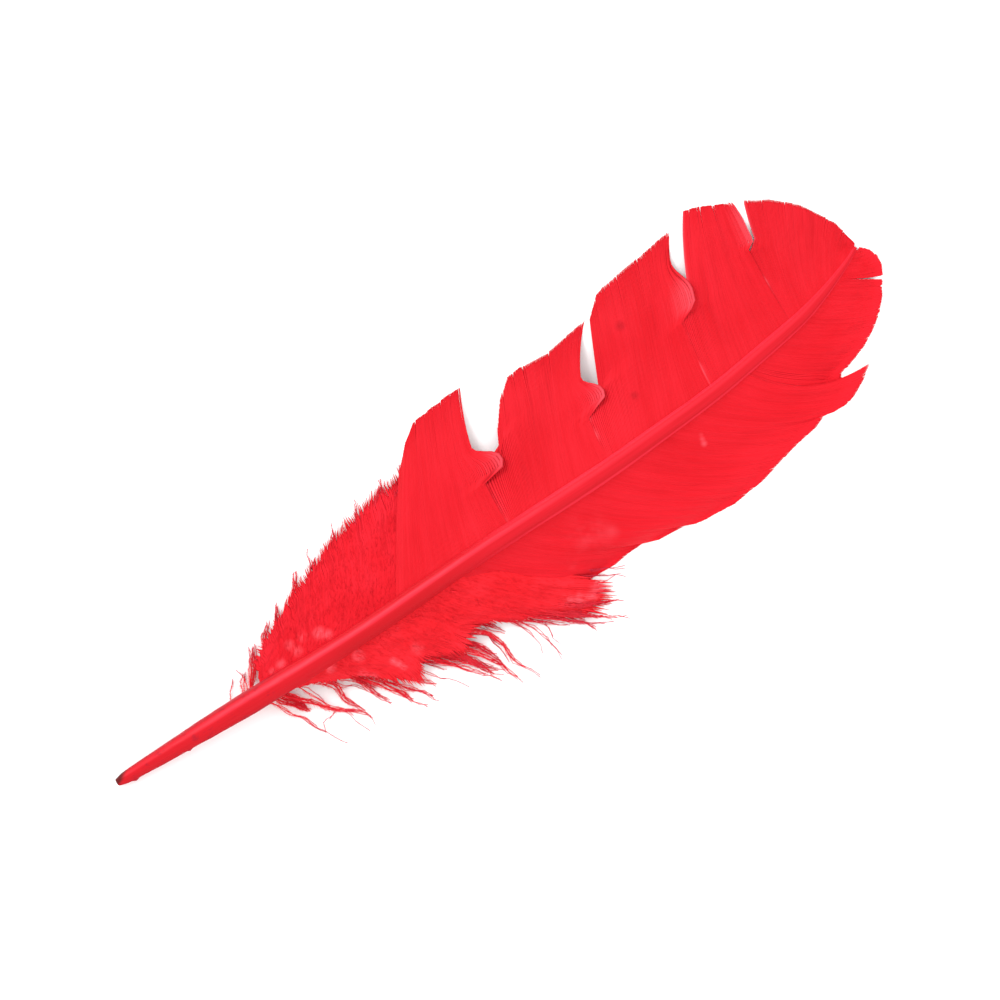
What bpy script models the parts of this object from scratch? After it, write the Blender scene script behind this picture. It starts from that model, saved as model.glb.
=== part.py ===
# A dyed turkey wing feather, lying on a surface with its outer side up.
# Metres, +Z up. The quill tip is at the low end of X and the feather's tip at the high end.
# The wide inner vane is on the +Y side of the shaft and the narrow outer vane on the -Y side.

import math

import bmesh
import bpy
from mathutils import Matrix, Vector

# Driving dimensions
LENGTH = 0.280
VANE_THICKNESS = 0.0007
RIDGE_HEIGHT = 0.0002
COLUMN_PITCH = 0.0031

# The point lists below are in millimetres on a feather of this length.
DRAWN_LENGTH = 280.0
UNIT = LENGTH / DRAWN_LENGTH

# Shaft: sideways bend, height of its centre and width, each against the distance from the quill tip
SHAFT_BEND = [(0, 0), (43, -1.9), (86, -3.5), (130, -3.2), (173, -4), (218, -2.8), (249, 0.1), (263, 3.6), (277, 10.2)]
SHAFT_RISE = [(0, 1.7), (6, 2.35), (20, 4.3), (60, 8.4), (105, 10.8), (150, 11.4), (200, 9.6), (245, 5.6), (277, 1.9)]
SHAFT_WIDTH = [
    (0, 2.3), (3, 3.7), (17, 5.3), (30, 6.4), (45, 7.5), (60, 7.5), (85, 6.8), (173, 5.4), (249, 3.7), (265, 2.4),
    (277, 1),
]
SHAFT_POINTS = 28
ROUND, FOUR_SIDED = 4, 0

# Vanes: guide barbs, each with its root's distance from the quill tip, the angle at which it leaves
# the shaft, where its tip would be, and how much of it is left. The barbs between two guides follow.
# The inner vane has four splits down to the shaft, so it has five sections.
INNER_SECTIONS = [
    [
        (101, 58, 129, 37.4, 0.82), (105, 60, 132, 39.8, 0.93), (112, 64, 135.6, 40.9, 1), (123, 70, 142, 41.5, 1),
        (142.2, 90, 153.6, 42.2, 1),
    ],
    [
        (142.8, 66, 162.4, 36.4, 0.68), (145, 66, 164, 36.9, 0.86), (149, 66, 167.4, 37.2, 0.98),
        (156, 66, 172, 36.9, 1), (165, 70, 181.6, 35.9, 1), (178.2, 88, 196.6, 37.9, 1),
    ],
    [
        (178.9, 65, 199.4, 40.4, 0.92), (184, 65, 203.2, 42, 1), (189, 66, 207, 43.1, 1), (203, 68, 222, 44.7, 1),
        (216.2, 85, 233, 46.2, 1),
    ],
    [(216.9, 74, 239.6, 48.7, 1), (230, 76, 245.4, 46.6, 1), (247.4, 88, 251.9, 43.1, 1)],
    [
        (248.1, 83, 256.6, 40.6, 1), (251, 78, 263.5, 36.6, 1), (256, 70, 269.9, 30.9, 1), (263, 66, 273.3, 22.8, 1),
        (269, 62, 275.3, 17.1, 1), (276, 56, 277.2, 11.4, 1),
    ],
]

# The outer vane is one section with two notches in its margin.
OUTER_SECTION = [
    (121, 50, 153.8, -29.4, 1), (129, 50, 163, -29.4, 1), (137, 50, 171.5, -28.8, 1), (145, 50, 180, -29.8, 1),
    (154, 50, 189.4, -32, 1), (164, 50, 200, -33.8, 1), (176, 50, 212.4, -33.1, 1), (194, 49, 229.3, -29.9, 1),
    (206, 48, 240.2, -27.9, 1), (217, 48, 249.5, -27.6, 1), (228.5, 48, 256.5, -23.2, 1), (230.5, 48, 256.9, -22, 0.8),
    (232, 47, 257.2, -20.6, 0.88), (237, 46, 259.2, -17.6, 1), (245, 44, 264.9, -14.6, 1), (252, 42, 271, -10.4, 1),
    (258, 40, 275.4, -6.4, 1), (262.5, 38, 278.2, -3, 1), (265, 37, 278.9, -1.2, 0.62), (267, 36, 279.4, 0.2, 1),
    (271, 34, 279.8, 3.6, 1), (276, 30, 277.8, 9.2, 1),
]

# The vanes fall from the shaft to this height at the margin, and lie flat where that is below the surface.
MARGIN_HEIGHT = -1.8
VANE_ROOT_HEIGHT = 0.3
VANE_ROOT_SPREAD = 0.4
VANE_SWELL = 0.06
VANE_ROWS = [0, 0.12, 0.27, 0.43, 0.59, 0.76, 0.92, 1]
BARB_BEND = 0.55
CURL_HEIGHT = 1.3
CURL_REACH = 4.0

# Down: locks on each side of the shaft, the stretch that they grow from and the line of their tips
OUTER_DOWN_ROOTS = (53, 126)
OUTER_DOWN_TIPS = [
    (58.5, -7.5), (60.5, -12.8), (71.4, -17.1), (86.4, -24.2), (94.2, -25.7), (113, -28.1), (129.3, -27),
    (139.8, -32.1), (150, -39), (156.5, -35),
]
INNER_DOWN_ROOTS = (53, 106)
INNER_DOWN_TIPS = [(58.5, 7.5), (63, 12.5), (75, 18.5), (89, 24), (104, 27.8), (118, 30), (126, 31)]
OUTER_LOCKS = 36
INNER_LOCKS = 24
LOCK_POINTS = 6
LOCK_WIDTH = 4.4
LOCK_TIP_WIDTH = 0.8
LOCK_FLATTENING = 0.4
LOCK_ANGLE = 66
LOCK_WAVE = 0.9
LOCK_WAVES = 1.3
LOCK_TIP_HEIGHTS = (0.6, 4.0)
LOCK_CLEARANCE = 0.05
SHORTEST_LOCK = 0.84


def along(points, x):
    """Value at x of a smooth curve through points that are ordered by their first number."""
    last = len(points) - 1
    i = 0
    while i < last - 1 and points[i + 1][0] < x:
        i += 1
    before, start, end, after = points[max(i - 1, 0)], points[i], points[i + 1], points[min(i + 2, last)]
    width = end[0] - start[0]
    slope_in = (end[1] - before[1]) / (end[0] - before[0]) * width
    slope_out = (after[1] - start[1]) / (after[0] - start[0]) * width
    t = (x - start[0]) / width
    return (
        start[1] * (2 * t**3 - 3 * t**2 + 1)
        + slope_in * (t**3 - 2 * t**2 + t)
        + end[1] * (3 * t**2 - 2 * t**3)
        + slope_out * (t**3 - t**2)
    )


def scatter(number):
    """An even spread of values from 0 to 1 for whole numbers, the same on each run."""
    return (number * 0.618034) % 1.0


def between(low, high, share):
    return low + (high - low) * share


def shaft_centre(u):
    return Vector((u, along(SHAFT_BEND, u), along(SHAFT_RISE, u)))


def barb_root(u, side):
    """Where a barb leaves the shaft, on its upper flank."""
    radius = along(SHAFT_WIDTH, u) / 2
    return shaft_centre(u) + Vector((0, side * radius * VANE_ROOT_SPREAD, radius * VANE_ROOT_HEIGHT))


def bent(root, tip, angle, side, t):
    """Plan point at t on a barb that leaves the shaft at an angle and bends on to its tip."""
    reach = math.hypot(tip[0] - root.x, tip[1] - root.y) * BARB_BEND
    elbow_x = root.x + reach * math.cos(math.radians(angle))
    elbow_y = root.y + side * reach * math.sin(math.radians(angle))
    start, middle, end = (1 - t) ** 2, 2 * t * (1 - t), t**2
    return start * root.x + middle * elbow_x + end * tip[0], start * root.y + middle * elbow_y + end * tip[1]


def columns_between(guides, pitch):
    """Barbs at about the given pitch at their roots or tips, whichever are further apart, through the guides."""
    columns = [guides[0]]
    for start, end in zip(guides, guides[1:]):
        spread = max(end[0] - start[0], math.hypot(end[2] - start[2], end[3] - start[3]))
        steps = max(1, round(spread / pitch))
        for i in range(1, steps + 1):
            columns.append(tuple(between(low, high, i / steps) for low, high in zip(start, end)))
    return columns


def point_at(corners, share):
    """The point at a share of the length of a line of corners."""
    lengths = [math.hypot(b[0] - a[0], b[1] - a[1]) for a, b in zip(corners, corners[1:])]
    left = share * sum(lengths)
    for start, end, length in zip(corners, corners[1:], lengths):
        if left <= length:
            return between(start[0], end[0], left / length), between(start[1], end[1], left / length)
        left -= length
    return corners[-1]


def new_object(name, mesh, collection):
    part = bpy.data.objects.new(name, mesh)
    collection.objects.link(part)
    return part


def vane_section(name, guides, side, collection):
    """A piece of vane between two splits: a grid bent along its barbs and thickened upwards."""
    pitch = COLUMN_PITCH / UNIT
    columns = columns_between(guides, pitch)
    last_column, last_row = len(columns) - 1, len(VANE_ROWS) - 1
    plate = bmesh.new()
    bmesh.ops.create_grid(plate, x_segments=last_column, y_segments=last_row, size=0.5)
    ridge = plate.verts.layers.float.new("ridge")
    for vert in plate.verts:
        column = round((vert.co.x + 0.5) * last_column)
        root_u, angle, *tip, kept = columns[column]
        t = VANE_ROWS[round((vert.co.y + 0.5) * last_row)] * kept
        root = barb_root(root_u, side)
        x, y = bent(root, tip, angle, side, t)
        fall = t + VANE_SWELL * math.sin(2 * math.pi * t)
        edge = min(column, last_column - column) * pitch
        curl = CURL_HEIGHT * math.exp(-edge / CURL_REACH) * math.sin(math.pi * t) ** 2
        z = between(root.z, MARGIN_HEIGHT, fall) + curl
        vert.co = Vector((x, y, max(0.0, z))) * UNIT
        vert[ridge] = RIDGE_HEIGHT * (column % 2)
    thickened = bmesh.ops.extrude_face_region(plate, geom=list(plate.faces), use_keep_orig=True)
    for vert in thickened["geom"]:
        if isinstance(vert, bmesh.types.BMVert):
            vert.co.z += VANE_THICKNESS + vert[ridge]
    bmesh.ops.recalc_face_normals(plate, faces=list(plate.faces))
    mesh = bpy.data.meshes.new(name)
    plate.to_mesh(mesh)
    plate.free()
    return new_object(name, mesh, collection)


def tube(name, knots, resolution, flattening, collection):
    """A closed tapered tube along a list of (point, radius), flattened towards the surface below it."""
    curve = bpy.data.curves.new(name, "CURVE")
    curve.dimensions = "3D"
    curve.fill_mode = "FULL"
    curve.use_fill_caps = True
    curve.bevel_depth = UNIT
    curve.bevel_resolution = resolution
    spline = curve.splines.new("POLY")
    spline.points.add(len(knots) - 1)
    for knot, (point, radius) in zip(spline.points, knots):
        knot.co = (point.x * UNIT, point.y * UNIT, point.z * UNIT / flattening, 1.0)
        knot.radius = radius
    line = new_object(name + "_line", curve, collection)
    bpy.context.view_layer.update()
    mesh = bpy.data.meshes.new_from_object(line.evaluated_get(bpy.context.evaluated_depsgraph_get()))
    mesh.transform(Matrix.Diagonal((1, 1, flattening, 1)))
    closed = bmesh.new()
    closed.from_mesh(mesh)
    bmesh.ops.remove_doubles(closed, verts=list(closed.verts), dist=0.00001)
    bmesh.ops.recalc_face_normals(closed, faces=list(closed.faces))
    closed.to_mesh(mesh)
    closed.free()
    solid = new_object(name, mesh, collection)
    solid.matrix_world = line.matrix_world.copy()
    bpy.data.objects.remove(line)
    bpy.data.curves.remove(curve)
    return solid


def shaft(name, collection):
    """Quill and shaft: one tapered round tube, with its points closer together towards both ends."""
    knots = []
    for i in range(SHAFT_POINTS + 1):
        share = (1 - math.cos(math.pi * i / SHAFT_POINTS)) / 2
        u = between(SHAFT_BEND[0][0], SHAFT_BEND[-1][0], share)
        knots.append((shaft_centre(u), along(SHAFT_WIDTH, u) / 2))
    return tube(name, knots, ROUND, 1.0, collection)


def lock(name, number, share, roots, tips, side, collection):
    """One tapered, wavy lock of down that sweeps out and forward from inside the shaft."""
    centre = shaft_centre(between(*roots, share))
    edge = point_at(tips, share)
    reach = between(SHORTEST_LOCK, 1.0, scatter(number))
    tip = (between(centre.x, edge[0], reach), between(centre.y, edge[1], reach))
    tip_height = between(*LOCK_TIP_HEIGHTS, scatter(3 * number + 1))
    knots = []
    for i in range(LOCK_POINTS):
        t = i / (LOCK_POINTS - 1)
        x, y = bent(centre, tip, LOCK_ANGLE, side, t)
        wave = LOCK_WAVE * t * (1 - t / 2) * math.sin(2 * math.pi * (LOCK_WAVES * t + scatter(number)))
        # Half as wide at its root as further out, then down to a thin tip
        radius = (LOCK_WIDTH * (0.5 + 1.5 * t) * (1 - t) + LOCK_TIP_WIDTH) / 2
        height = max(between(centre.z, tip_height, t**0.8), radius * LOCK_FLATTENING + LOCK_CLEARANCE)
        knots.append((Vector((x + wave, y - side * wave / 2, height)), radius))
    return tube(name, knots, FOUR_SIDED, LOCK_FLATTENING, collection)


def dyed_keratin():
    material = bpy.data.materials.new("dyed_feather")
    material.use_nodes = True
    surface = material.node_tree.nodes["Principled BSDF"]
    surface.inputs["Base Color"].default_value = (0.9, 0.02, 0.035, 1.0)
    surface.inputs["Roughness"].default_value = 0.5
    surface.inputs["Metallic"].default_value = 0.0
    return material


def centre_on_box(feather):
    """Moves the feather so that the origin is under the middle of its box."""
    bpy.context.view_layer.update()
    seen = feather.evaluated_get(bpy.context.evaluated_depsgraph_get())
    xs = [corner[0] for corner in seen.bound_box]
    ys = [corner[1] for corner in seen.bound_box]
    feather.location = (-(min(xs) + max(xs)) / 2, -(min(ys) + max(ys)) / 2, 0)


def main():
    for item in list(bpy.data.objects):
        bpy.data.objects.remove(item)
    turkey_feather = bpy.data.collections.new("turkey_feather")
    growths = bpy.data.collections.new("growths")
    for collection in (turkey_feather, growths):
        bpy.context.scene.collection.children.link(collection)

    feather = shaft("feather", turkey_feather)
    for i, guides in enumerate(INNER_SECTIONS):
        vane_section(f"inner_vane_{i}", guides, 1, growths)
    vane_section("outer_vane", OUTER_SECTION, -1, growths)
    for i in range(OUTER_LOCKS):
        lock(f"outer_lock_{i}", i, i / (OUTER_LOCKS - 1), OUTER_DOWN_ROOTS, OUTER_DOWN_TIPS, -1, growths)
    for i in range(INNER_LOCKS):
        lock(f"inner_lock_{i}", i, i / (INNER_LOCKS - 1), INNER_DOWN_ROOTS, INNER_DOWN_TIPS, 1, growths)
    for growth in growths.objects:
        growth.parent = feather
        growth.hide_render = True
        growth.display_type = "WIRE"

    joined = feather.modifiers.new("joined", "BOOLEAN")
    joined.operation = "UNION"
    joined.solver = "EXACT"
    joined.operand_type = "COLLECTION"
    joined.collection = growths
    feather.data.shade_smooth()
    feather.data.materials.append(dyed_keratin())
    centre_on_box(feather)


main()
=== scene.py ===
import math

import bpy
import numpy as np
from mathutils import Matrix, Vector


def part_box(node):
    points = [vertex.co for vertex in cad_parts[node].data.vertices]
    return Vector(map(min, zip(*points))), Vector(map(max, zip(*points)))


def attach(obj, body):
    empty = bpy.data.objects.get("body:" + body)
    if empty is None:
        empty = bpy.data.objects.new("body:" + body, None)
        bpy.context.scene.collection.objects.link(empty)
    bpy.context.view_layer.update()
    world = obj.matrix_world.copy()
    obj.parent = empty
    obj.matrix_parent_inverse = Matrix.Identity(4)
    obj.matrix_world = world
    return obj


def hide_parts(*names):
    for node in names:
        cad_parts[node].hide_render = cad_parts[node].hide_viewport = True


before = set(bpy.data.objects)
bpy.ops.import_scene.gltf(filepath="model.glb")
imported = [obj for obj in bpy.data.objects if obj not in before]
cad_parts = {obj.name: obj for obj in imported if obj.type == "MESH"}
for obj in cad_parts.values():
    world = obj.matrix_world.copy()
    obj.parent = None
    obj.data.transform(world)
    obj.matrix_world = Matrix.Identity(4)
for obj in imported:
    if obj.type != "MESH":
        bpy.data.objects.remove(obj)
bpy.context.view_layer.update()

# Everything is drawn in mm from the quill tip: x along the feather, y to the wide vane, z up
mm = 0.001
drawnTip, drawnWide = 279.8, 48.7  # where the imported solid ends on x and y, as drawn
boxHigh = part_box("feather")[1]
origin = np.array((boxHigh.x - drawnTip * mm, boxHigh.y - drawnWide * mm, 0.0))


def toWorld(points):
    return points * mm + origin


def along(points, x):
    # Smooth curve through points that are ordered by their first number
    xs, ys = np.array(points, float).T
    x = np.asarray(x, float)
    i = np.clip(np.searchsorted(xs, x) - 1, 0, len(xs) - 2)
    before, after = np.maximum(i - 1, 0), np.minimum(i + 2, len(xs) - 1)
    width = xs[i + 1] - xs[i]
    slopeIn = (ys[i + 1] - ys[before]) / (xs[i + 1] - xs[before]) * width
    slopeOut = (ys[after] - ys[i]) / (xs[after] - xs[i]) * width
    t = (x - xs[i]) / width
    value = ys[i] * (2 * t**3 - 3 * t**2 + 1) + slopeIn * (t**3 - 2 * t**2 + t)
    return value + ys[i + 1] * (3 * t**2 - 2 * t**3) + slopeOut * (t**3 - t**2)


def between(low, high, share):
    return low + (high - low) * share


def smooth(low, high, x):
    # 0 below low, 1 above high, eased between them
    t = np.clip((x - low) / (high - low), 0, 1)
    return t * t * (3 - 2 * t)


def unit(vectors):
    return vectors / np.maximum(np.linalg.norm(vectors, axis=-1, keepdims=True), 1e-9)


def ripple(seed, *axes, waves=7):
    # Smooth unevenness around 0; each axis counts in wavelengths
    random = np.random.default_rng(seed)
    total = 0
    for _ in range(waves):
        turns = random.normal(0, 1, len(axes))
        phase = random.uniform(0, 2 * math.pi)
        total = total + np.sin(2 * math.pi * sum(turn * axis for turn, axis in zip(turns, axes)) + phase)
    return total / math.sqrt(waves / 2)


def softFloor(z, lowest, ease):
    # Keeps heights above the surface that the feather lies on, without a crease
    return lowest + ease * np.logaddexp(0, (z - lowest) / ease)


def ripples(seed, waves, u, t):
    # Several ripples in one: each has a wavelength along the shaft in mm, waves to a barb, and a height
    return sum(high * ripple(seed + i, u / long, t * turns) for i, (long, turns, high) in enumerate(waves))


# Shaft line, shared by every piece: places along it in mm, each with a value
shaftLine = {
    "bend": [(0, 0), (43, -1.9), (86, -3.5), (130, -3.2), (173, -3.8), (200, -3.2), (218, -2.3), (232, -0.8),
             (250, 1.5), (258, 3.3), (265, 5.4), (272, 7.9), (277, 10.2)],
    "rise": [(0, 1.7), (6, 2.35), (20, 4.3), (60, 8.4), (105, 10.8), (150, 11.4), (200, 9.6), (245, 5.6),
             (277, 1.9)],
    "width": [(0, 2.3), (3, 3.7), (17, 5.3), (30, 6.3), (45, 7.2), (60, 7.3), (85, 6.8), (130, 6.3),
              (180, 6.0), (200, 5.6), (220, 5.1), (240, 4.7), (250, 4.3), (258, 3.5), (265, 2.6),
              (272, 1.7), (277, 1)],
}


def shaftCentre(u):
    u = np.asarray(u, float)
    return np.stack((u, along(shaftLine["bend"], u), along(shaftLine["rise"], u)), -1)


def shaftRadius(u):
    return along(shaftLine["width"], u) / 2


def barbRoot(u, side, shape):
    # Barbs begin inside the shaft, beside its middle and a little above it
    radius = shaftRadius(u)
    aside, above = side * radius * shape["rootSpread"], radius * shape["rootHeight"]
    return shaftCentre(u) + np.stack((u * 0, aside, above), -1)


def bentPath(root, tip, angle, side, t, bend):
    # Plan of a barb: it leaves the shaft at an angle in degrees and bends on to its tip
    reach = np.linalg.norm(tip - root, axis=-1) * bend
    turn = np.radians(angle)
    elbow = root + np.stack((reach * np.cos(turn), side * reach * np.sin(turn)), -1)
    t = t[..., None]
    return (1 - t) ** 2 * root[:, None] + 2 * t * (1 - t) * elbow[:, None] + t**2 * tip[:, None]


# Meshes of closed strands
def strandFaces(rings, marks):
    # rings: strands x points x corners x 3, corners clockwise as seen along the strand
    strands, points, corners = rings.shape[:3]
    index = np.arange(strands * points * corners).reshape(strands, points, corners)
    near, far = index[:, :-1], index[:, 1:]
    walls = np.stack((near, np.roll(near, -1, 2), np.roll(far, -1, 2), far), -1).reshape(-1, 4)
    caps = np.concatenate((index[:, 0, ::-1], index[:, -1]))
    return rings.reshape(-1, 3), [walls, caps], np.broadcast_to(marks, rings.shape).reshape(-1, 3)


def spikeFaces(bases, points, marks):
    # Thin three-sided spikes: bases is spikes x 3 corners x 3, points the tips
    vertices = np.concatenate((bases, points[:, None]), 1)
    index = np.arange(len(bases) * 4).reshape(-1, 4)
    walls = [index[:, (corner, (corner + 1) % 3, 3)] for corner in range(3)]
    foot = index[:, (2, 1, 0)]
    spread = np.broadcast_to(marks[:, None], vertices.shape).reshape(-1, 3)
    return vertices.reshape(-1, 3), [*walls, foot], spread


def ribbonRings(centre, roll, taper, share, shape):
    # Four-cornered sections of barbs side by side, each wide enough to meet its neighbour
    tangent = unit(np.gradient(centre, axis=1))
    step = np.gradient(centre, axis=0)
    up = np.cross(tangent, step)
    up = unit(up * np.sign(up[..., 2:]) + (0, 0, shape["level"]))
    across = unit(np.cross(tangent, up))
    apart = np.abs((step * across).sum(-1))
    apart = np.maximum.reduce([apart, np.roll(apart, 1, 1), np.roll(apart, -1, 1)])
    cos, sin = np.cos(roll)[..., None], np.sin(roll)[..., None]
    across, up = across * cos + up * sin, up * cos - across * sin
    wing = (np.clip(apart * shape["cover"], *shape["halfWidth"]) * taper)[..., None] * across
    crest = between(*shape["crest"], share)[..., None] * up
    keel = between(*shape["keel"], share)[..., None] * up
    rings = np.stack((centre - wing, centre + crest, centre + wing, centre - keel), 2)
    rings[..., 2] = np.maximum(rings[..., 2], 0.0)  # nothing reaches below the surface
    return rings


def buildPiece(name, parts, finish):
    # Joins parts into one smooth-shaded mesh with its strand marks and a flat map seen from above
    points, marks, faces, start = [], [], [], 0
    for vertices, groups, mark in parts:
        points.append(toWorld(vertices))
        marks.append(mark)
        faces += [group + start for group in groups]
        start += len(vertices)
    points, marks = np.concatenate(points), np.concatenate(marks)
    sizes = np.concatenate([np.full(len(group), group.shape[1]) for group in faces])
    corners = np.concatenate([group.ravel() for group in faces])
    starts = np.concatenate(([0], np.cumsum(sizes)[:-1]))
    mesh = bpy.data.meshes.new(name)
    mesh.vertices.add(len(points))
    mesh.vertices.foreach_set("co", points.ravel())
    mesh.loops.add(len(corners))
    mesh.loops.foreach_set("vertex_index", corners.astype(np.int32))
    mesh.polygons.add(len(sizes))
    mesh.polygons.foreach_set("loop_start", starts.astype(np.int32))
    mesh.polygons.foreach_set("use_smooth", np.ones(len(sizes), bool))
    mesh.update(calc_edges=True)
    mesh.attributes.new("strand", "FLOAT_VECTOR", "POINT").data.foreach_set("vector", marks.ravel())

    # Upper faces fill the upper half of the map and lower faces the lower half
    first, second, third = (points[corners[starts + step]] for step in range(3))
    facesUp = np.cross(second - first, third - first)[:, 2] >= 0
    lowest, highest = points.min(0), points.max(0)
    flat = (points - lowest) / (highest - lowest)
    mapWidth, mapGap = 0.48, 0.01
    raised = np.repeat(facesUp, sizes) * 0.5
    layout = np.stack((flat[corners, 0], flat[corners, 1] * mapWidth + mapGap + raised), -1)
    mesh.uv_layers.new(name="OFBake").data.foreach_set("uv", layout.ravel())

    piece = bpy.data.objects.new(name, mesh)
    bpy.context.scene.collection.objects.link(piece)
    piece.data.materials.append(finish)
    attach(piece, "root")
    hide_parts("feather")
    print("built", name, "with", int((sizes - 2).sum()), "triangles")
    return piece


# Shader maths: a socket in a material's node tree that adds Math nodes when it is reckoned with
class Wire:
    def __init__(self, tree, socket):
        self.tree, self.socket = tree, socket

    def maths(self, operation, first, second):
        node = self.tree.nodes.new("ShaderNodeMath")
        node.operation = operation
        for socket, value in zip(node.inputs, (first, second)):
            plug(self.tree, socket, value)
        return Wire(self.tree, node.outputs[0])

    def __add__(self, other):
        return self.maths("ADD", self, other)

    def __radd__(self, other):
        return self.maths("ADD", other, self)

    def __sub__(self, other):
        return self.maths("SUBTRACT", self, other)

    def __rsub__(self, other):
        return self.maths("SUBTRACT", other, self)

    def __mul__(self, other):
        return self.maths("MULTIPLY", self, other)

    def __rmul__(self, other):
        return self.maths("MULTIPLY", other, self)


def plug(tree, socket, value):
    if isinstance(value, Wire):
        tree.links.new(value.socket, socket)
    else:
        socket.default_value = value


class Finish:
    # A material; every node but Math comes from its node method
    def __init__(self, name, surface):
        self.material = bpy.data.materials.new(name)
        self.material.use_nodes = True
        self.tree = self.material.node_tree
        self.set(surface)

    def set(self, sockets):
        surface = self.tree.nodes["Principled BSDF"]
        for name, value in sockets.items():
            plug(self.tree, surface.inputs[name], value)

    def node(self, kind, settings, sockets, output=0):
        node = self.tree.nodes.new("ShaderNode" + kind)
        for name, value in settings.items():
            setattr(node, name, value)
        for name, value in sockets.items():
            plug(self.tree, node.inputs[name], value)
        return Wire(self.tree, node.outputs[output])

    def mark(self, axis):
        # One number of the strand marks that the meshes carry
        strand = self.node("Attribute", {"attribute_name": "strand"}, {}, "Vector")
        return self.node("SeparateXYZ", {}, {"Vector": strand}, axis)

    def place(self):
        return self.node("TexCoord", {}, {}, "Object")

    def vector(self, x, y, z):
        return self.node("CombineXYZ", {}, {"X": x, "Y": y, "Z": z})

    def noise(self, vector, scale=1.0, detail=2.0, roughness=0.5):
        sockets = {"Vector": vector, "Scale": scale, "Detail": detail, "Roughness": roughness}
        return self.node("TexNoise", {}, sockets)

    def ease(self, value, low, high, start=0.0, end=1.0):
        sockets = {"Value": value, "From Min": low, "From Max": high, "To Min": start, "To Max": end}
        return self.node("MapRange", {"interpolation_type": "SMOOTHSTEP"}, sockets)

    def mix(self, share, first, second):
        return self.node("Mix", {"data_type": "RGBA"}, {0: share, 6: first, 7: second}, 2)

    def spot(self, x, y, radius):
        # 1 at a drawn place, down to 0 at the radius, whatever the height
        flat = self.node("VectorMath", {"operation": "MULTIPLY"}, {0: self.place(), 1: (1, 1, 0)})
        middle = (x * mm + origin[0], y * mm + origin[1], 0)
        apart = self.node("VectorMath", {"operation": "DISTANCE"}, {0: flat, 1: middle}, "Value")
        return self.ease(apart, 0.0, radius * mm, 1.0, 0.0)

    def grain(self, strength, distance, height):
        bump = self.node("Bump", {}, {"Strength": strength, "Distance": distance, "Height": height})
        self.set({"Normal": bump})


print("camera, floor and light")
# Camera, straight above, turned as the feather lies in the photograph
viewing = {"height": 1.5, "lens": 177.4, "sensor": 36, "turn": -33.83, "middle": (144.4, 6.6)}
cameraData = bpy.data.cameras.new("camera")
cameraData.lens = viewing["lens"]
cameraData.sensor_width = viewing["sensor"]
camera = bpy.data.objects.new("camera", cameraData)
camera.location = toWorld(np.array((*viewing["middle"], 0))) + np.array((0, 0, viewing["height"]))
camera.rotation_euler = (0, 0, math.radians(viewing["turn"]))
bpy.context.scene.collection.objects.link(camera)
bpy.context.scene.camera = camera

# Pale floor, just under the feather
flooring = {"reach": 4, "drop": 0.00005, "colour": (0.97, 0.97, 0.97, 1), "roughness": 0.9}
floorMesh = bpy.data.meshes.new("floor")
reach = flooring["reach"]
floorCorners = [(-reach, -reach, 0), (reach, -reach, 0), (reach, reach, 0), (-reach, reach, 0)]
floorMesh.from_pydata(floorCorners, [], [(0, 1, 2, 3)])
floor = bpy.data.objects.new("floor", floorMesh)
floor.location.z = -flooring["drop"]
bpy.context.scene.collection.objects.link(floor)
floorFinish = Finish("pale_floor", {"Base Color": flooring["colour"], "Roughness": flooring["roughness"],
                                    "Specular IOR Level": 0.0})
floorMesh.materials.append(floorFinish.material)

# Soft light all round, and one softbox on the side of the wide vane
lighting = {"around": 1.45, "keyPower": 8.0, "keySize": 0.5, "keyFrom": (-0.3, 0.95, 0.95)}
world = bpy.data.worlds.new("studio")
world.use_nodes = True
world.node_tree.nodes["Background"].inputs["Color"].default_value = (1, 1, 1, 1)
world.node_tree.nodes["Background"].inputs["Strength"].default_value = lighting["around"]
bpy.context.scene.world = world
keyData = bpy.data.lights.new("softbox", "AREA")
keyData.shape = "DISK"
keyData.size = lighting["keySize"]
keyData.energy = lighting["keyPower"]
key = bpy.data.objects.new("softbox", keyData)
key.location = lighting["keyFrom"]
key.rotation_mode = "QUATERNION"
key.rotation_quaternion = (-key.location).to_track_quat("-Z", "Y")
bpy.context.scene.collection.objects.link(key)
bpy.context.scene.view_settings.view_transform = "Standard"

vaneLook = {
    "deep": (0.56, 0.0055, 0.012, 1),
    "bright": (0.66, 0.013, 0.025, 1),
    "paleAndHighlight": (0.72, 0.062, 0.085, 1),  # painted highlight where barbs lift or fold over, and pale clouds
    "speck": (0.22, 0.003, 0.007, 1),
    "speckStrength": 0.36,
    "margin": (0.80, 0.013, 0.026, 1),
    "thin": 0.0,  # painted light: how far the outer half takes the lighter colour of the margin
    "gloss": 0.09,
    "roughness": 0.53,
    "bump": (0.25, 0.00006),
}
shaftLook = {
    "quill": (0.50, 0.004, 0.011, 1),
    "rachis": (0.56, 0.006, 0.016, 1),
    "coreAndShade": (0.42, 0.003, 0.007, 1),  # dark streaks, and painted shade beside the down
    "highlightBand": (0.72, 0.024, 0.046, 1),  # painted highlight along the side of the wide vane
    "line": (0.68, 0.020, 0.040, 1),  # painted highlight, thin, on each flank
    "rim": (0.30, 0.005, 0.016, 1),  # painted shade on the edges of the bare quill, and its spots
    "stain": (0.08, 0.006, 0.006, 1),  # on the quill's end
    "gloss": 0.10,
    "coat": (0.04, 0.25),
    "roughness": 0.34,
    "bump": (0.3, 0.0001),
}
downLook = {
    "deep": (0.57, 0.0085, 0.016, 1),
    "bright": (0.66, 0.014, 0.026, 1),
    "paleAndHighlight": (0.90, 0.10, 0.13, 1),  # tufts that catch the light
    "dark": (0.44, 0.034, 0.075, 1),  # tips of the locks
    "gloss": 0.05,
    "roughness": 0.7,
}


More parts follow.
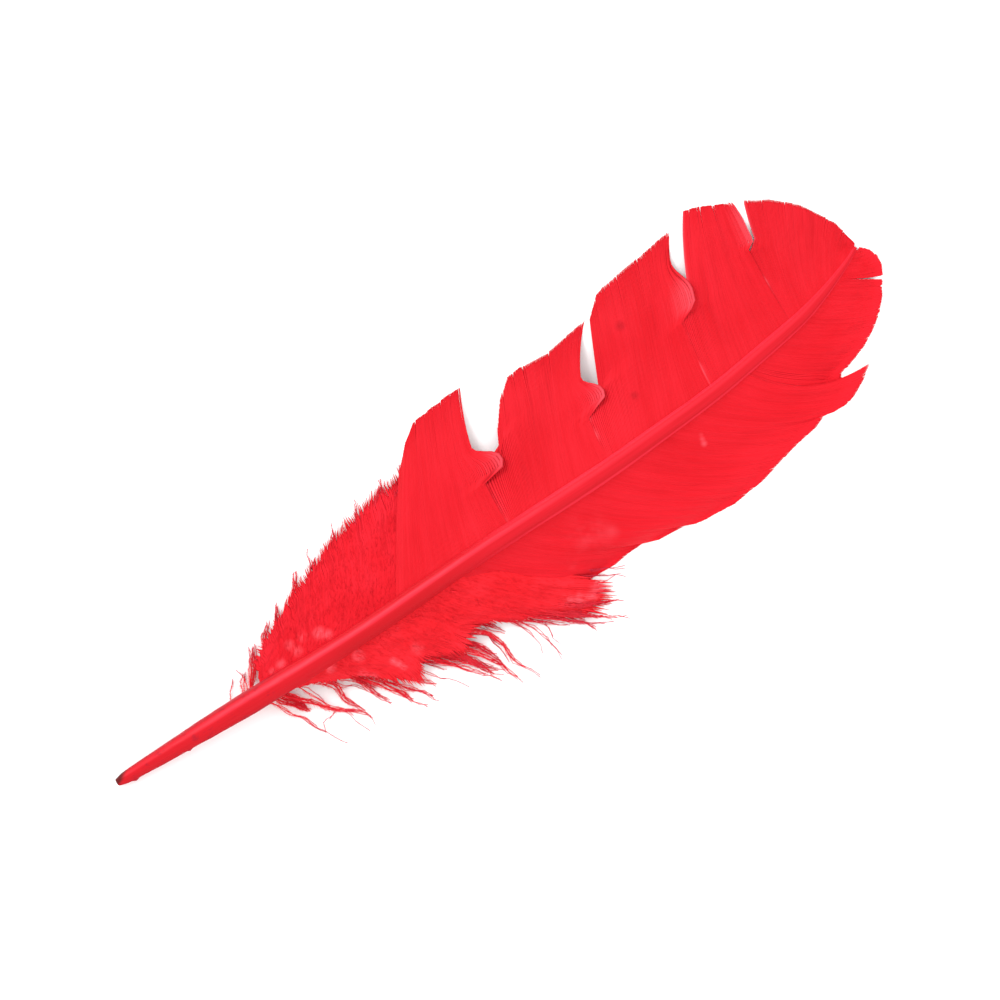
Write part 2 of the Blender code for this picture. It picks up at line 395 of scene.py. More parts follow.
def vaneFinish(name, look, clouds, specks):
    # Marks of the vanes: x the root's place, y along the barb, z the barb's own paleness and its painted
    # highlight
    finish = Finish(name, {"Specular IOR Level": look["gloss"]})
    root, reach, own = finish.mark("X"), finish.mark("Y"), finish.mark("Z")
    streaks = finish.noise(finish.vector(root * 110.0, reach * 2.2, own * 2.4), roughness=0.6)
    cloud = finish.noise(finish.place(), 34.0, 3.0, 0.55)
    bands = finish.noise(finish.vector(root * 14.0, reach * 1.1, 0.0))
    tone = finish.ease(streaks * 0.3 + cloud * 0.45 + bands * 0.3 + own * 0.2, 0.32, 0.82)
    colour = finish.mix(tone, look["deep"], look["bright"])
    mottled = finish.ease(finish.noise(finish.place(), 170.0), 0.35, 0.7)
    # Pale clouds; those near x 205 on the outer vane are a painted highlight of lifted barbs
    for x, y, radius, share in clouds:
        colour = finish.mix(finish.spot(x, y, radius) * mottled * share, colour, look["paleAndHighlight"])
    # Painted highlight on flaps and rims, carried by the barbs' own marks
    colour = finish.mix(finish.ease(own, 0.3, 1.2) * 0.9, colour, look["paleAndHighlight"])
    # Painted light: the outer half lighter towards its margin, against the shade of its slope
    colour = finish.mix(finish.ease(reach, 0.45, 1.0) * look["thin"], colour, look["margin"])
    for x, y, radius in specks:
        colour = finish.mix(finish.spot(x, y, radius) * look["speckStrength"], colour, look["speck"])
    finish.set({"Base Color": colour, "Roughness": look["roughness"] - tone * 0.1})
    fine = finish.noise(finish.vector(root * 420.0, reach * 60.0, own * 4.0), detail=1.0)
    finish.grain(*look["bump"], fine)
    return finish.material


def shaftFinish(name, look):
    # Marks of the shaft: x along it in 100 mm, y across it and 1 at the wide vane, z 1 on top and -1 below
    coat, coatRoughness = look["coat"]
    finish = Finish(name, {"Specular IOR Level": look["gloss"], "Coat Weight": coat,
                           "Coat Roughness": coatRoughness})
    reach, across, upper = finish.mark("X"), finish.mark("Y"), finish.mark("Z")
    streaks = finish.noise(finish.vector(reach * 4.0, across * 5.0, upper * 2.0), 1.0, 3.0, 0.6)
    base = finish.mix(finish.ease(reach, 1.1, 1.6), look["quill"], look["rachis"])
    colour = finish.mix(finish.ease(streaks, 0.3, 0.75) * 0.5, base, look["coreAndShade"])

    # Painted highlight: a pale band on the side of the wide vane, fainter at both ends
    highlightBand = finish.ease(across, 0.02, 0.34) * finish.ease(across, 0.76, 0.46)
    ends = finish.ease(reach, 0.2, 0.45, 0.3, 0.8) * finish.ease(reach, 1.8, 1.1, 0.4, 1.0)
    colour = finish.mix(highlightBand * ends, colour, look["highlightBand"])
    # Painted shade on the other side where the down begins
    flankShade = finish.ease(reach, 0.72, 0.85) * finish.ease(reach, 1.25, 1.05) * finish.ease(across, 0.05, -0.15)
    colour = finish.mix(flankShade * 0.55, colour, look["coreAndShade"])
    # Painted highlight: a thin pale line on each flank between the vanes
    lines = finish.ease(across, 0.6, 0.78) + finish.ease(across, -0.74, -0.86)
    colour = finish.mix(lines * finish.ease(reach, 1.2, 1.6) * 0.8, colour, look["line"])
    # Painted shade on the edges of the bare quill, darker spots on it, and its brown end
    bare = finish.ease(reach, 0.66, 0.5)
    shadedEdges = finish.ease(across, 0.62, 0.92) + finish.ease(across, -0.78, -0.98)
    colour = finish.mix(shadedEdges * bare * 0.7, colour, look["rim"])
    spots = finish.noise(finish.vector(reach * 30.0, across * 1.8, upper * 1.8), 1.0, 3.0, 0.6)
    colour = finish.mix(finish.ease(spots, 0.56, 0.72) * bare * 0.75, colour, look["rim"])
    stain = finish.ease(reach + streaks * 0.03 - across * 0.026, 0.048, 0.020)
    colour = finish.mix(stain * 0.95, colour, look["stain"])

    flank = finish.ease(across, -0.4, -0.8)  # dull, towards the narrow vane
    finish.set({"Base Color": colour, "Roughness": look["roughness"] + streaks * 0.16 + flank * 0.4})
    fine = finish.noise(finish.vector(reach * 14.0, across * 26.0, upper * 9.0), detail=3.0)
    finish.grain(*look["bump"], fine)
    return finish.material


def downFinish(name, look, tufts):
    # Marks of the down: x 1 at the tips of locks, y along the barb, z its own number
    finish = Finish(name, {"Specular IOR Level": look["gloss"]})
    tint, reach, own = finish.mark("X"), finish.mark("Y"), finish.mark("Z")
    cloud = finish.noise(finish.place(), 90.0, 3.0, 0.6)
    tone = finish.ease(cloud * 0.8 + own * 0.2 + reach * 0.15, 0.42, 0.85)
    colour = finish.mix(tone, look["deep"], look["bright"])
    fine = finish.noise(finish.place(), 420.0, 3.0, 0.6)
    striped = finish.noise(finish.vector(own * 40.0, reach * 7.0, 0.0))
    flecks = finish.ease(fine * 0.5 + striped * 0.5, 0.36, 0.6)
    # Painted highlight on tufts that catch the light
    for x, y, radius, share in tufts:
        colour = finish.mix(finish.spot(x, y, radius) * flecks * share, colour, look["paleAndHighlight"])
    colour = finish.mix(finish.ease(tint, 0.0, 1.0) * 0.7, colour, look["dark"])
    finish.set({"Base Color": colour, "Roughness": look["roughness"] - tone * 0.15})
    return finish.material


# Quill and shaft
shaftShape = {
    "length": 277.0,
    "rings": 420,
    "corners": 40,
    "roundUntil": 62,  # the quill is round; from here it turns into the grooved shaft
    "squareFrom": 104,
    "ledge": 0.07,  # raised line on each flank, in shaft radii
    "ledges": (20, 160),  # degrees round the shaft
    "ledgeWidth": 7,
    "groove": 0.34,
    "grooveWidth": 0.26,
    "coarse": (26, 3.2, 0.012),  # bumps: wavelengths along in mm and around in radians, height in shaft radii
    "fine": (7, 1.3, 0.006),
    "pit": [(0.2, 2.6), (0.42, 1.2), (0.55, 0.1), (0.8, -0.15)],  # rings in the open end: size, depth in mm
    "flakes": [(5.3, 0.45, 0.9), (24.2, 0.4, 0.6)],  # place along the quill, height and length of its flakes
}


def growShaft(shape):
    u = between(0.0, shape["length"], (1 - np.cos(np.pi * np.linspace(0, 1, shape["rings"]))) / 2)
    turn = np.linspace(0, 2 * np.pi, shape["corners"], endpoint=False)
    turn = (np.pi - turn)[None, :]  # left, over the top, right, below
    squared = smooth(shape["roundUntil"], shape["squareFrom"], u)[:, None]
    cos, sin = np.cos(turn), np.sin(turn)
    upper = sin >= 0

    # Rounded square top, flanks that draw in below, and a groove along the underside
    boxX = np.sign(cos) * np.abs(cos) ** 0.8 * np.where(upper, 0.98, 1 - 0.22 * np.abs(sin))
    boxY = np.where(upper, np.abs(sin) ** 0.85, -0.95 * np.abs(sin) ** 0.7)
    boxY = boxY + np.where(upper, 0, shape["groove"] * np.exp(-((cos / shape["grooveWidth"]) ** 2)))
    x, y = between(cos, boxX, squared), between(sin, boxY, squared)
    flank = np.degrees(turn)
    for middle in shape["ledges"]:
        raised = np.exp(-(((flank - middle) / shape["ledgeWidth"]) ** 2))
        sunken = np.exp(-(((flank - 90 + 0.72 * (90 - middle)) / shape["ledgeWidth"]) ** 2))
        x = x + np.sign(cos) * shape["ledge"] * squared * (raised - 0.7 * sunken)
    radius = shaftRadius(u)[:, None]
    for middle, high, long in shape["flakes"]:
        x = x + high / radius * np.exp(-(((u[:, None] - middle) / long) ** 2) - (turn / 0.4) ** 2)
    uneven = 1
    for seed, (long, around, high) in enumerate((shape["coarse"], shape["fine"]), 5):
        uneven = uneven + high * ripple(seed, u[:, None] / long, turn / around)
    x, y = x * uneven, y * uneven

    line = shaftCentre(u)
    tangent = unit(np.gradient(line, axis=0))
    side = unit(np.cross(tangent, (0, 0, 1)))
    up = np.cross(side, tangent)
    rings = line[:, None] + (radius * x)[..., None] * side[:, None] + (radius * y)[..., None] * up[:, None]
    marks = np.stack((np.broadcast_to(u[:, None] / 100, x.shape), -x, np.broadcast_to(y, x.shape)), -1)
    # The rim of the open end turns in to a small pit
    pit = [line[0] + tangent[0] * depth + (rings[0] - line[0]) * size for size, depth in shape["pit"]]
    rings = np.concatenate((np.array(pit), rings))
    marks = np.concatenate((np.repeat(marks[:1], len(pit), 0), marks))
    return [strandFaces(rings[None], marks[None])]


# Vanes: guide barbs of each section between two splits. Each has the place of its root along the shaft, the
# angle at which it leaves the shaft, x and y of its tip, and how much of the barb is left
innerSections = [
    [(101, 58, 129, 37.4, 0.82), (105, 60, 132, 39.8, 0.93), (112, 64, 135.6, 40.9, 1),
     (123, 70, 142, 41.5, 1), (142.2, 90, 153.6, 42.2, 1)],
    [(142.5, 66, 162.4, 36.4, 0.68), (145, 66, 164, 36.9, 0.86), (149, 66, 167.4, 37.2, 0.98),
     (156, 66, 172, 36.9, 1), (165, 70, 181.6, 35.9, 1), (178.2, 88, 196.6, 37.9, 1)],
    [(178.5, 65, 199.4, 40.4, 0.92), (184, 65, 203.2, 42, 1), (189, 66, 207, 43.1, 1),
     (203, 68, 222, 44.7, 1), (216.2, 85, 233, 46.2, 1)],
    [(216.5, 74, 239.6, 48.7, 1), (230, 76, 245.4, 46.6, 1), (247.4, 88, 251.9, 43.1, 1)],
    [(247.7, 83, 256.8, 41, 1), (251, 78, 263.5, 36.8, 1), (256, 70, 270, 30.6, 1), (262, 66, 274.1, 23.4, 1),
     (265, 64, 276.1, 20.2, 1), (269, 62, 277, 15.6, 1), (276, 56, 277.8, 11.6, 1)],
]
outerSections = [
    [(121, 50, 153.8, -28.7, 1), (129, 50, 163, -29.3, 1), (133, 50, 168, -28.6, 1),
     (139, 50, 174.4, -28.5, 1), (142, 50, 178, -30.4, 1), (150.5, 50, 187.4, -31.3, 1),
     (153.5, 50, 190.6, -32.9, 1), (164, 50, 203, -34, 1), (176, 50, 214, -33, 1),
     (190, 49, 228, -29.8, 1), (200, 48, 236.8, -28.4, 1),
     (204.5, 48, 240.6, -26.9, 1), (208, 49, 244, -27.8, 1), (212, 51, 248, -28, 1), (218, 54, 252, -26.8, 1),
     (223, 58, 256.6, -24.5, 1), (227.6, 62, 261, -21.6, 1), (228, 60, 253.2, -21.9, 1),
     (228.8, 54, 251.4, -20.1, 1), (230.5, 48, 252.2, -19.3, 1), (234, 46, 257.6, -17.8, 1),
     (239, 45, 262.8, -16, 1), (246, 44, 267.6, -13.4, 1), (252, 42, 272, -10.4, 1),
     (260, 39, 275.9, -6.5, 1), (266.4, 35, 278.3, -2.3, 1)],
    [(266.8, 35, 279.2, -1.2, 1), (269, 34, 280.7, 1.8, 1), (271.5, 33, 281, 4.8, 1),
     (273.8, 32, 280.3, 7.2, 1), (276, 30, 278.4, 9.5, 1)],
]
vaneShape = {
    "pitch": 0.4,
    "points": 29,
    "bend": 0.55,
    "swell": 0.06,
    "marginHeight": -1.8,
    "middle": 0.35,  # the vane is a thin sheet in the middle of its solid
    "floor": (0.17, 0.3),  # lowest height, and how softly the vane settles on it
    "rootSpread": 0.4,
    "rootHeight": 0.3,
    "groups": 0.09,  # share of the barbs at which a new group starts
    "groupLead": 0.11,
    "closing": 0.06,
    "tipSpread": (0.03, 0.04),  # across and along the barb
    "frayWidth": 1.6,
    "frayLength": 3.5,
    # How far from a split, in mm, barbs close it, lift beside it and fold over it
    "closeWidth": 5.0,
    "liftWidth": 2.6,
    "foldWidth": 3.6,
    "edgeLift": 0.8,
    "waves": [(34, 0.9, 0.28), (9, 1, 0.07)],
    "rimWidth": 0.7,
    "uneven": 0.012,
    "roll": (0.045, 0.03),
    "seam": (0.2, 0.3),  # paleness of a closed split and how much it varies
    "cover": 0.62,  # half width of a barb in steps to its neighbour
    "halfWidth": (0.05, 0.8),
    "level": 0.2,
    "keel": (0.17, 0.05),
    "crest": (0.08, 0.03),
}


# The two edges of each section. Its first barbs stay shut against the section before up to a distance from
# the shaft in mm, lap over or under it, and have a pale rim, a painted highlight. Its last barbs fold over
# the next split in a flap, which starts at a share of their length; there they lift, get a pale painted
# highlight, and some fray
plainEdge = {"shut": None, "lap": 0.5, "rim": 0.0,
             "flap": 0.0, "flapAt": 0.5, "flapLong": 0.2, "lift": 0.0,
             "paleAndHighlight": 0.0, "highlightWide": 3.0, "fray": 0.0}
innerEdges = [
    plainEdge | {"lap": -0.9,
                 "flap": 7.6, "flapAt": 0.33, "flapLong": 0.24, "lift": 1.0, "paleAndHighlight": 0.85, "fray": 0.2},
    plainEdge | {"shut": 16.0,
                 "flap": 6.6, "flapAt": 0.35, "flapLong": 0.26, "lift": 1.0, "paleAndHighlight": 0.85, "fray": 0.2},
    plainEdge | {"shut": 16.5,
                 "flap": 5.4, "flapAt": 0.45, "flapLong": 0.36, "lift": 1.0,
                 "paleAndHighlight": 0.9, "highlightWide": 6.0, "fray": 0.3},
    plainEdge | {"shut": 23.0, "rim": 1.1,
                 "flap": 2.4, "flapAt": 0.62, "flapLong": 0.6, "lift": 0.8, "paleAndHighlight": 0.9, "fray": 0.3},
    plainEdge | {"shut": 28.0, "rim": 0.8},
]
outerEdges = [plainEdge | {"lap": -0.9}, plainEdge]


def spreadBarbs(guides, pitch):
    # Barbs at one pitch at roots or tips, whichever are further apart, with their distance from the first
    barbs, travelled = [guides[0]], [0.0]
    for start, end in zip(guides, guides[1:]):
        start, end = np.array(start), np.array(end)
        spread = max(end[0] - start[0], math.hypot(end[2] - start[2], end[3] - start[3]))
        steps = max(1, round(spread / pitch))
        for i in range(1, steps + 1):
            barbs.append(between(start, end, i / steps))
            travelled.append(travelled[-1] + spread / steps)
    return np.array(barbs), np.array(travelled)


def growVane(sections, side, edges, seed, shape):
    parts, neighbour = [], None
    for number, (guides, edge) in enumerate(zip(sections, edges)):
        random = np.random.default_rng(seed + number)
        barbs, travelled = spreadBarbs(guides, shape["pitch"])
        count = len(barbs)
        rootU, angle, tip, kept = barbs[:, 0], barbs[:, 1], barbs[:, 2:4], barbs[:, 4]
        fromFirst, fromLast = travelled, travelled[-1] - travelled
        root = barbRoot(rootU, side, shape)
        t = np.linspace(0, 1, shape["points"])[None] * kept[:, None]
        share = t / kept[:, None]
        path = bentPath(root[:, :2], tip, angle, side, t, shape["bend"])

        # Small groups of barbs close up at the margin and leave fine notches between them
        group = np.cumsum(random.random(count) < shape["groups"])
        middles = np.array([travelled[group == one].mean() for one in range(group[-1] + 1)])
        lead = random.normal(0, shape["groupLead"], group[-1] + 1)
        margin, outward = unit(np.gradient(tip, axis=0)), unit(tip - root[:, :2])
        across, lengthwise = shape["tipSpread"]
        closing = (middles[group] - travelled) * shape["closing"] + random.normal(0, across, count)
        stretch = lead[group] + random.normal(0, lengthwise, count)
        loose = np.exp(-fromLast / shape["frayWidth"]) * edge["fray"]
        closing = closing + random.normal(0, 1, count) * loose
        stretch = stretch - np.abs(random.normal(0, shape["frayLength"], count)) * loose
        path = path + (margin * closing[:, None])[:, None] * share[..., None] ** 7
        path = path + (outward * stretch[:, None])[:, None] * share[..., None] ** 2

        # Near the shaft a split stays shut; further out barbs curl over it in a flap
        closed = np.zeros(shape["points"])
        if edge["shut"]:
            edgeX, edgeY = neighbour[:, 0], neighbour[:, 1]
            gap = path[0, :, 0] - np.interp(path[0, :, 1], edgeY, edgeX) - shape["pitch"] * 0.9
            closed = 1 - smooth(edge["shut"] - 1.5, edge["shut"] + 1.5, path[0, :, 1])
            path[..., 0] -= gap * closed * np.exp(-fromFirst / shape["closeWidth"])[:, None]
        neighbour = path[-1].copy()
        folded = edge["flapAt"] + random.normal(0, 0.002, count)[:, None]
        flattened = smooth(0.3, 1.0, (share - folded) / edge["flapLong"])
        fold = smooth(folded - 0.01, folded + 0.03, share) * (1 - flattened)
        flap = fold * np.exp(-fromLast / shape["foldWidth"])[:, None]
        path[..., 0] += flap * edge["flap"]

        # The vane falls from the shaft to the surface, with its edges lifted or tucked in
        fall = t + shape["swell"] * np.sin(2 * np.pi * t)
        height = between(root[:, None, 2], shape["marginHeight"], fall)
        hump = np.sin(np.pi * np.clip(t, 0, 1) ** 0.8) ** 2
        lastEdge, firstEdge = np.exp(-fromLast / shape["liftWidth"]), np.exp(-fromFirst / shape["liftWidth"])
        lift = shape["edgeLift"] * lastEdge + edge["lap"] * firstEdge
        height = height + lift[:, None] * hump + flap * edge["lift"]
        height = height + ripples(seed + 40, shape["waves"], rootU[:, None], t) * np.sin(np.pi * t * 0.62)
        height = height + random.normal(0, shape["uneven"], count)[:, None]
        centre = np.concatenate((path, softFloor(height + shape["middle"], *shape["floor"])[..., None]), -1)

        slow, own = shape["roll"]
        roll = ripple(seed + 42, np.arange(count)[:, None] / 10, t * 1.3) * slow
        roll = roll + random.normal(0, own, count)[:, None]
        taper = between(1.0, 0.4, smooth(0.96, 1.0, share)) * (1 - 0.45 * loose[:, None] * share)
        rings = ribbonRings(centre, roll * smooth(0.02, 0.2, share), taper, share, shape)

        # Barbs are painted pale as a highlight in a flap and along a rim, and pale here and there in a closed
        # split
        seamPale, seamVaries = shape["seam"]
        seam = closed * (seamPale + seamVaries * ripple(seed + 43 + number, share * 4))
        rim = edge["rim"] * (1 - closed) * smooth(0.3, 0.5, share) + seam
        rim = rim * np.exp(-fromFirst / shape["rimWidth"])[:, None]
        paleAndHighlight = fold * edge["paleAndHighlight"] * np.exp(-fromLast / edge["highlightWide"])[:, None]
        highlightAndPaleness = random.random(count)[:, None] * 0.25 + paleAndHighlight + np.maximum(rim, 0)
        marks = np.stack((np.broadcast_to(rootU[:, None] / 100, t.shape), t, highlightAndPaleness), -1)
        parts.append(strandFaces(rings, marks[:, :, None]))
    return parts


# Down: first the dense part, whose barbs lie side by side. Each guide has the place of a root along the
# shaft, and x and y of the tip
barbuleShape = {"radius": 0.036, "lengths": (0.55, 1.15), "leanSpread": 9, "turnSpread": 0.6, "lowest": 0.05}
outerMat = [(61, 63, -7), (64, 68, -9), (68, 74, -12), (72, 79, -14.5), (76, 85.5, -20.5), (80, 91, -25.5),
            (84, 96, -27), (87, 98.5, -22), (91, 103, -23), (95, 108.5, -26.5), (99, 113, -26.5),
            (101, 115.5, -22.5), (104, 120, -22.5), (108, 127, -26.5), (112, 134, -30), (116, 141, -36),
            (119, 149, -39.5), (122, 155.5, -38), (125, 157.5, -34), (128, 156, -29.5)]
innerMat = [(52, 55, 8), (62, 74, 18), (76, 93, 25), (90, 108, 29), (106, 127, 32)]
matShape = {
    "pitch": 0.3,
    "points": 22,
    "angle": 50,
    "bend": 0.5,
    "rootSpread": 0.4,
    "rootHeight": 0.22,
    "tipHeight": 0.5,
    "fallWidth": 31,
    "floor": (0.15, 0.3),
    "tuck": 1.0,  # the last barbs dip under the vane
    "tuckWidth": 2.0,
    "lengths": (0.93, 1.05),
    "lengthSpread": 0.02,
    "sways": [(14, 1.2, 0.8), (4, 2.5, 0.12)],
    "tipSpread": 0.35,
    "waves": [(18, 1.2, 0.12)],
    "roll": [(3, 2, 0.04)],
    "rollSpread": 0.03,
    "tipWidth": 0.12,
    "fuzzHeight": 0.05,
    "barbules": barbuleShape | {"long": (2.6, 1.2), "lean": (20, 14)},  # in mm and degrees, at root and tip
    "cover": 0.9,
    "halfWidth": (0.05, 0.7),
    "level": 0.6,
    "crest": (0.06, 0.04),
    "keel": (0.12, 0.05),
}
# Then loose locks: about a third of the width in mm, number of barbs, and points from the shaft to the tip
outerLocks = [
    (0.3, 3, [(50.5, -4.5), (53, -7), (55, -11), (58.5, -17), (60.5, -22.5)]),
    (0.1, 1, [(52, -5), (55.5, -11.5), (59, -18), (62, -24.5), (64.8, -29)]),
    (1.5, 30, [(54, -3.5), (56, -6.5), (58, -9.5), (59.8, -12.5), (61, -14.5)]),
    (0.35, 8, [(56, -5), (60, -9.5), (63.5, -13.5), (66.8, -18), (70.5, -21), (74, -24), (75.3, -29.3)]),
    (0.1, 2, [(58, -5.5), (63.5, -14), (67.5, -18.6), (64.5, -19.2), (62, -19.4), (61.4, -23)]),
    (0.15, 2, [(62, -6), (67, -17.5), (70, -21), (71, -25), (72.2, -29.7)]),
    (0.1, 1, [(60, -5.5), (64, -8), (65.3, -11.5), (65.8, -15)]),
    (0.9, 10, [(64, -5.5), (69, -9), (71.7, -13), (71.6, -17.5), (73.5, -21), (75, -24.5)]),
    (0.15, 2, [(67, -6), (73, -13), (76.5, -16.3), (79, -19)]),
    (0.7, 8, [(70, -6), (76.5, -12), (79, -17), (80.3, -21.5), (82.8, -26.5)]),
    (1.2, 10, [(71, -6.5), (76, -12), (79.5, -16), (81, -20)]),
    (1.6, 16, [(88, -8), (96, -18), (101.5, -23.5), (105.5, -28)]),
    (1.8, 16, [(91, -8), (101, -20), (107.5, -27), (112, -32)]),
    (1.6, 14, [(94, -8), (104, -20), (110, -29), (114.5, -38.5)]),
    (1.6, 14, [(97, -8), (108, -20), (114.5, -27), (117, -32)]),
    (1.2, 10, [(104, -8), (116, -19), (121, -24), (123, -28)]),
    (1.2, 10, [(117, -8), (134, -26), (145, -35.5), (153, -42)]),
    (0.9, 12, [(73, -6.5), (79, -13.5), (84, -21), (87.5, -26.5), (88.6, -30), (91.5, -33)]),
    (0.6, 7, [(77, -6.5), (84, -18), (89.5, -25.5), (93, -29.5), (95, -34)]),
    (1.3, 14, [(80, -6.5), (88, -18), (93, -24.5), (97, -29.3)]),
    (0.5, 5, [(86, -7), (94, -17), (99.5, -23.5), (102, -27.3)]),
    (0.2, 2, [(84, -7), (92, -18), (99, -28), (103, -31.5), (105.2, -35.5)]),
    (0.5, 6, [(89, -7), (97, -17.5), (104, -26), (110, -33.5), (115, -39)]),
    (0.5, 7, [(92, -7), (101, -19), (108.5, -27), (111.5, -33.5), (116, -38)]),
    (0.7, 11, [(95, -7), (105, -20), (113, -28.5), (116.8, -35), (118, -39), (119.6, -43.5)]),
    (0.2, 3, [(98, -7), (110, -19), (117.5, -24.5), (119, -29), (119.2, -36)]),
    (0.5, 9, [(100, -7), (111, -18), (118.5, -24.5), (120.8, -30), (120.5, -35.5), (122.5, -39.5),
              (125, -45)]),
    (0.2, 2, [(103, -7), (114, -17.5), (122, -24), (124, -27.3)]),
    (0.4, 4, [(106, -7), (118, -18.5), (126.5, -26), (129.6, -31.5), (129.5, -39.5)]),
    (0.3, 4, [(107.5, -7), (120, -20), (129.5, -28.5), (132.3, -34), (133.4, -44)]),
    (0.25, 3, [(109, -7), (122, -21), (133, -29.5), (135, -34.5), (135.5, -40)]),
    (0.5, 6, [(111, -7), (124, -22), (134, -31), (138.5, -34.5), (141, -36.8)]),
    (0.5, 7, [(114, -7), (130, -25), (140, -34), (145, -38.5), (147.4, -42.8)]),
    (0.6, 8, [(116, -7), (133, -26), (144, -35.5), (152, -41), (157.6, -44.7)]),
    (0.7, 9, [(119, -7), (137, -26.5), (148, -34), (155, -37.5), (159.3, -40)]),
    (0.8, 8, [(122, -7), (140, -25), (150, -31.5), (158, -35.5)]),
    (0.25, 3, [(125, -7), (145, -23), (156.5, -29), (163.5, -33.7)]),
    (0.15, 2, [(127, -7), (148, -22.5), (159, -28.5), (164.6, -31.7)]),
    (2.0, 6, [(87, -7), (96, -17), (101.5, -23.5), (107, -30)]),
    (1.8, 7, [(91, -7), (103, -20.5), (109.5, -28.5), (113, -33), (116.5, -37.5)]),
    (1.2, 6, [(97, -7), (109, -20.5), (114, -26.5), (116.8, -32), (117.6, -37)]),
    (1.0, 4, [(101, -7), (113, -18.5), (118, -23.5), (119.6, -28.5), (121.4, -33)]),
    (0.8, 4, [(113, -7), (129, -24.5), (139, -33.5), (145, -38.8), (152.5, -43.6)]),
    (0.8, 4, [(124, -7), (144, -24), (154, -30.5), (161, -32.2)]),
]
innerLocks = [
    (0.1, 1, [(42, 1), (44.2, 3.8), (46.4, 6.6)]),
    (0.1, 1, [(48.2, 1), (49.6, 5), (49.3, 8.1)]),
    (0.1, 2, [(46.8, 1), (48.4, 4), (50.8, 5.6)]),
    (0.3, 4, [(49.6, 1), (52, 4.5), (54.6, 9), (56, 12)]),
    (0.5, 6, [(50, 1), (53, 4.5), (56, 9), (57.5, 12)]),
    (0.8, 9, [(54, 0.5), (58, 6), (61.5, 11.5), (65.5, 15.5)]),
    (1.2, 10, [(58, 0.5), (63, 8), (67.5, 13.5), (70.5, 18.5)]),
    (0.7, 8, [(61, 0.5), (66, 8), (71.5, 14), (77.5, 19)]),
    (1.1, 11, [(65, 0.5), (71, 9), (76, 16.5), (80.5, 23.5)]),
    (0.8, 7, [(69, 0), (76, 10), (82.5, 18), (88, 23.5)]),
    (0.6, 6, [(72, 0), (79, 11), (84, 19.5), (87.5, 27)]),
    (1.3, 12, [(76, 0), (83.5, 10), (90.5, 19), (96.5, 25.5)]),
    (0.7, 7, [(81, 0), (88, 12), (94, 21.5), (98, 29.5)]),
    (1.2, 11, [(85, 0), (93.5, 12), (100.5, 21), (107, 28)]),
    (0.6, 6, [(89, 0), (97, 13), (103, 22), (107.5, 31.5)]),
    (1.1, 10, [(94, 0), (103, 14), (109.5, 23.5), (116, 31)]),
    (0.8, 8, [(98, 0), (107, 13), (113, 22.5), (117.5, 32.5)]),
    (1.0, 9, [(103, 0), (112, 14), (118, 24), (125, 32.5)]),
]
lockShape = {
    "points": 16,
    "radius": (0.13, 0.1),
    "shortest": 0.72,
    "spread": 1.6,
    "stray": 0.25,
    "tipWidth": 0.08,
    "wander": (0.1, 0.32),  # how far barbs wander at root and tip, and over what length, in mm
    "wanderLong": 9,
    "rootDrop": (0.1, 0.5),  # below the middle of the shaft, in shaft radii
    "tipHeights": (0.3, 1.4),
    "sag": 1.4,
    "floor": (0.15, 0.25),
    "dark": (0.3, 0.95),  # where the tips begin to darken and where they are darkest
    "barbules": barbuleShape | {"long": (1.9, 1.0), "lean": (40, 16)},
}


def strandFrames(line):
    tangent = unit(np.gradient(line, axis=1))
    side = unit(np.cross(tangent, (0, 0, 1)))
    return tangent, side, np.cross(side, tangent)


def growTubes(line, radius, marks):
    # Thin barbs with three corners
    tangent, side, up = strandFrames(line)
    turns = [2 * math.pi / 3 * corner for corner in (2, 1, 0)]
    corners = [line + radius * (math.cos(turn) * 0.8 * up - math.sin(turn) * side) for turn in turns]
    return strandFaces(np.stack(corners, 2), marks[:, :, None])


def growBarbules(random, line, tint, count, shape):
    # Barbules all along the barbs, shorter and closer to them towards the tips
    length = np.linalg.norm(np.diff(line, axis=1), axis=-1).sum(1)
    owner = random.choice(len(line), count, p=length / length.sum())
    at = random.random(count) ** 0.9 * 0.97 + 0.02
    place = at * (line.shape[1] - 1)
    low = np.floor(place).astype(int)
    base = between(line[owner, low], line[owner, low + 1], (place - low)[:, None])
    ahead, sidewise, upward = (direction[owner, low] for direction in strandFrames(line))
    lean = np.radians(between(*shape["lean"], at) + random.normal(0, shape["leanSpread"], count))[:, None]
    flank = np.where(random.random(count) < 0.5, 0, np.pi)
    turn = (flank + random.normal(0, shape["turnSpread"], count))[:, None]
    outwards = np.cos(turn) * sidewise + np.sin(turn) * upward
    direction = np.cos(lean) * ahead + np.sin(lean) * outwards
    long = between(*shape["long"], at) * random.uniform(*shape["lengths"], count)
    point = base + direction * long[:, None]
    point[:, 2] = np.maximum(point[:, 2], shape["lowest"])
    first = unit(np.cross(direction, (0.3, 0.2, 1)))
    second = np.cross(first, direction)
    turns = [2 * math.pi / 3 * corner for corner in range(3)]
    foot = [base + shape["radius"] * (math.sin(turn) * first + math.cos(turn) * second) for turn in turns]
    return spikeFaces(np.stack(foot, 1), point, np.stack((tint[owner, low], at, random.random(count)), -1))


